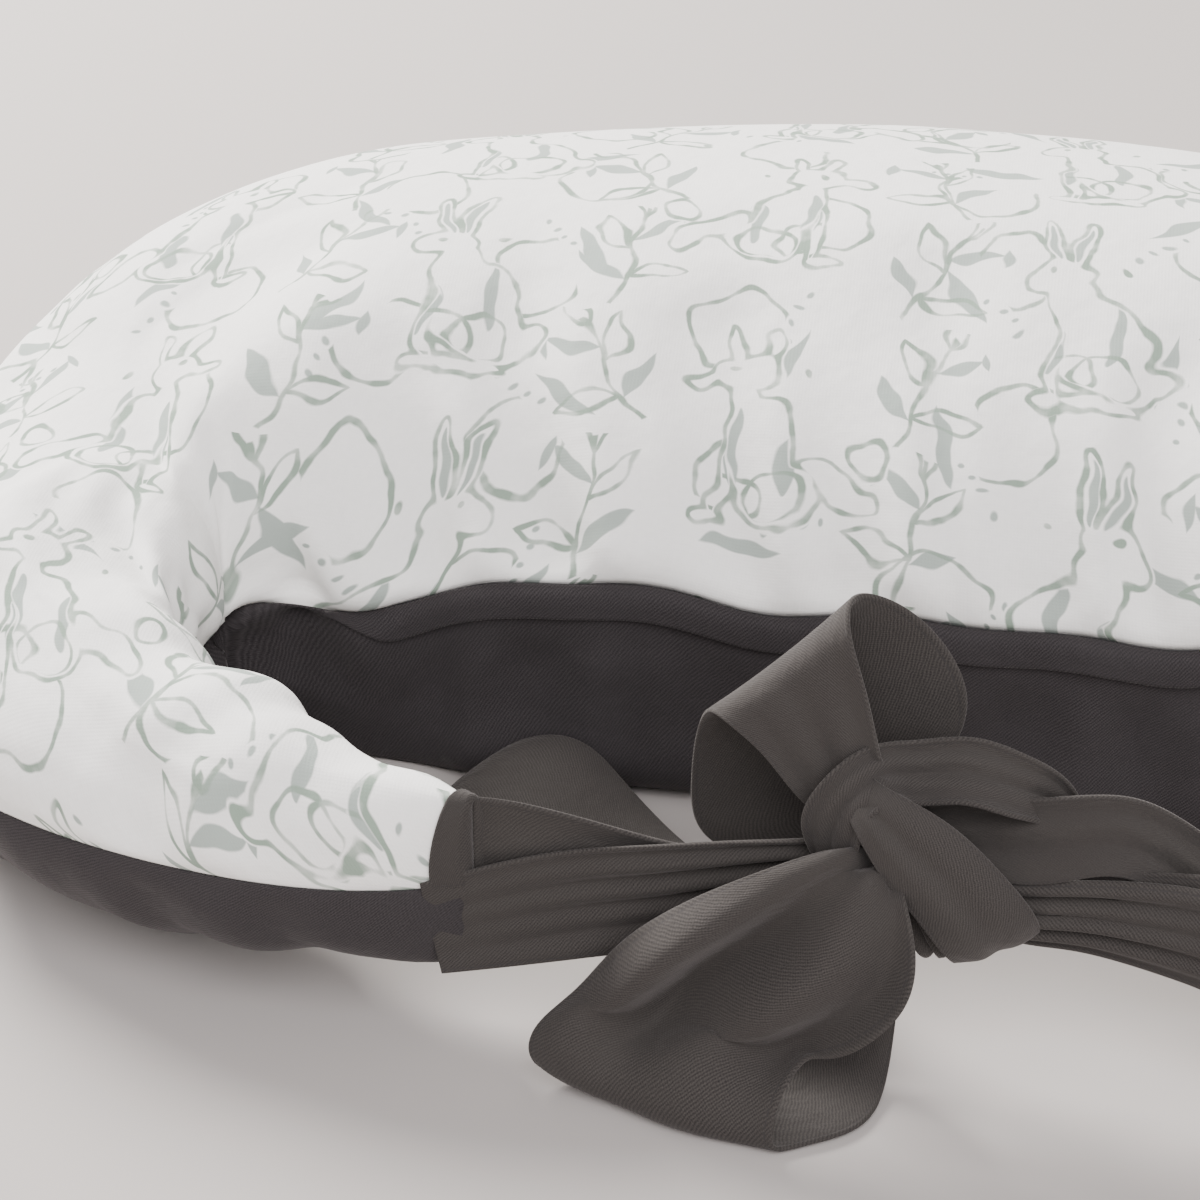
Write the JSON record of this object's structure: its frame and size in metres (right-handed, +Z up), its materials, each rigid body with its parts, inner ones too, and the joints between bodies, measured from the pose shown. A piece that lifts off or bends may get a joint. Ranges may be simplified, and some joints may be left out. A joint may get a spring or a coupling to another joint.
{
  "type": "nursing pillow",
  "caption": "Crescent nursing pillow with a printed white top, dark twill underside, a concealed zip in the opening's back wall and wide ties knotted in a bow.",
  "frame": {"origin": "on the floor under the middle of the object's box", "axes": "+Z up, +Y to the back of the crescent, so the horns and the bow are at -Y, +X to the right of someone who looks at the bow"},
  "size_m": [0.628, 0.4374, 0.156],
  "materials": {
    "printed_cotton": "matt white cotton with a fine sage-green line print",
    "dark_twill": "matt charcoal twill",
    "zip_tape": "woven tape",
    "zip_nylon": "satin",
    "zip_metal": "satin",
    "casing_cloth": "matt undyed cotton",
    "fibre": "soft polyester fibre"
  },
  "bodies": {
    "pillow": {"cover_top_panel": "printed_cotton", "cover_bottom_panel": "dark_twill", "zip_facing_strip": "dark_twill", "zip_tape_upper": "zip_tape", "zip_tape_lower": "zip_tape", "zip_coil_upper": "zip_nylon", "zip_coil_lower": "zip_nylon", "zip_stop_closed_end": "zip_metal", "zip_stop_open_end": "zip_metal", "casing_top_panel": "casing_cloth", "casing_bottom_panel": "casing_cloth", "fibre_filling": "fibre", "tie_left": "dark_twill", "tie_right": "dark_twill", "tie_tail_left": "dark_twill", "tie_tail_right": "dark_twill", "bow_knot": "dark_twill"},
    "slider": {"zip_slider": "zip_metal"},
    "pull": {"zip_pull": "zip_metal"},
    "loop_upper": {"bow_loop_upper": "dark_twill"},
    "loop_lower": {"bow_loop_lower": "dark_twill"}
  },
  "joints": [
    {"name": "zip_slider_travel", "type": "slide", "parent": "pillow", "child": "slider", "axis": [-1, 0, 0], "range_m": [0, 0.24]},
    {"name": "zip_pull_flip", "type": "hinge", "parent": "slider", "child": "pull", "pos_m": [0.1202, -0.04872, 0.058], "axis": [0, 0, 1], "range_deg": [0, 170]},
    {"name": "bow_loop_upper_sway", "type": "hinge", "parent": "pillow", "child": "loop_upper", "pos_m": [0.004, -0.16227, 0.061], "axis": [1, 0, 0], "range_deg": [-20, 20]},
    {"name": "bow_loop_lower_lift", "type": "hinge", "parent": "pillow", "child": "loop_lower", "pos_m": [0.004, -0.16227, 0.061], "axis": [-1, 0, 0], "range_deg": [0, 45]}
  ]
}
